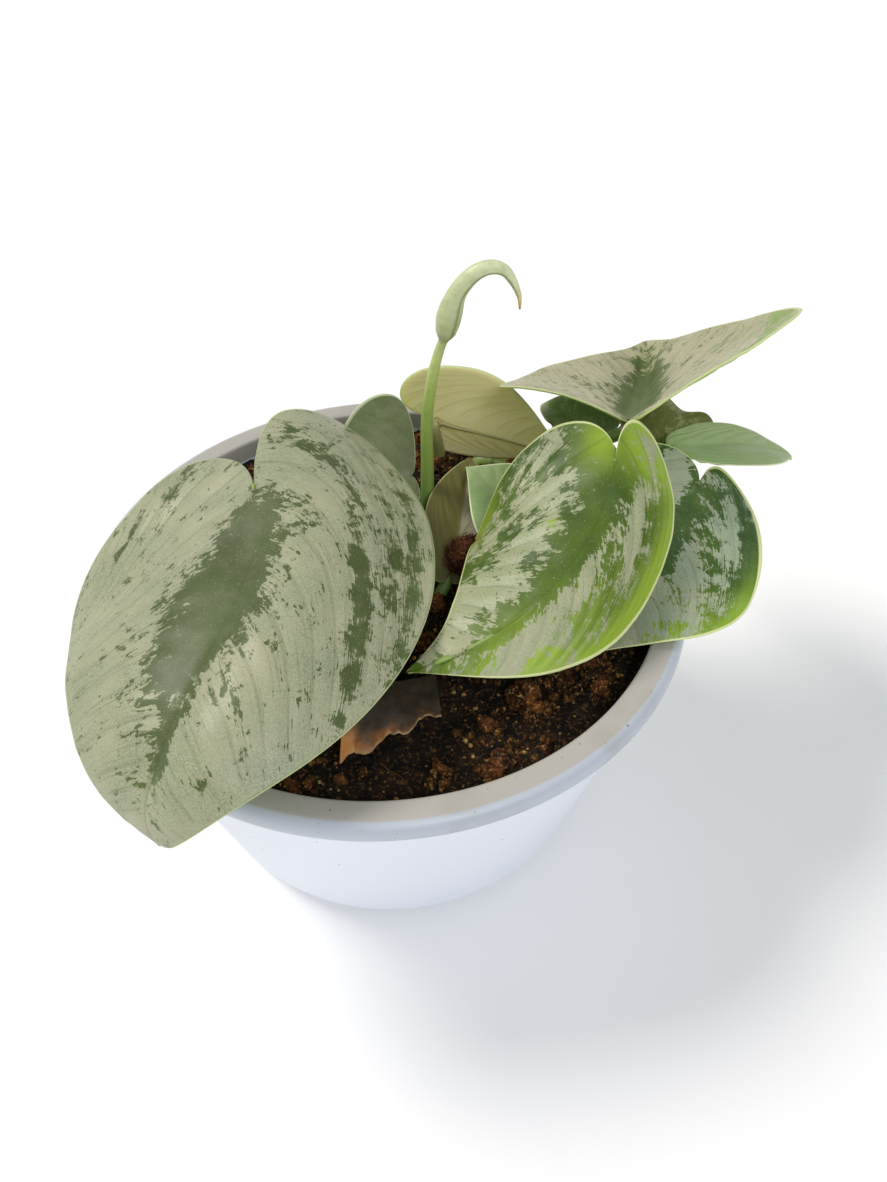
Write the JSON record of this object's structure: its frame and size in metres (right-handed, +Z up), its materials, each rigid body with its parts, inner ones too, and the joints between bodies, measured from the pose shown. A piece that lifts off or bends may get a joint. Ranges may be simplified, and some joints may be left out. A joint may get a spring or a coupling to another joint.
{
  "type": "potted satin pothos",
  "caption": "Young satin pothos with silver-splashed heart-shaped leaves and a new leaf still rolled, in a low round plastic pot of potting mix.",
  "frame": {"origin": "centre of the pot's underside, on the surface that the pot stands on", "axes": "+Z up, +Y towards the back of the plant as the picture shows it, +X to its right"},
  "size_m": [0.2573, 0.219, 0.1956],
  "materials": {
    "silver_leaf": "satin, grey-green with darker green along the midrib and thin streaks",
    "splashed_leaf": "satin, dark green with silver splashes and a pale margin",
    "leaf_underside": "matt, pale olive underside, light shows through it",
    "pale_leaf": "satin, pale green",
    "old_leaf": "matt, dull olive with brown edges",
    "dead_leaf": "matt, dry and brown",
    "stem": "satin, green",
    "potting_mix": "matt, dark mix with brown clods and pale grains",
    "pot_plastic": "satin white, greyer on the rim"
  },
  "bodies": {
    "root": {"leaf_front_left": "silver_leaf", "leaf_centre": "splashed_leaf", "leaf_right": "splashed_leaf", "leaf_top_right": "silver_leaf", "leaf_back": "leaf_underside", "leaf_back_left": "splashed_leaf", "leaf_low_centre": "old_leaf", "leaf_small_centre": "pale_leaf", "leaf_pale_right": "pale_leaf", "leaf_old_right": "old_leaf", "leaf_back_right": "pale_leaf", "new_leaf": "pale_leaf", "vine_left": "stem", "vine_right": "stem", "dead_leaf": "dead_leaf", "potting_mix": "potting_mix", "pot": "pot_plastic"}
  },
  "joints": []
}
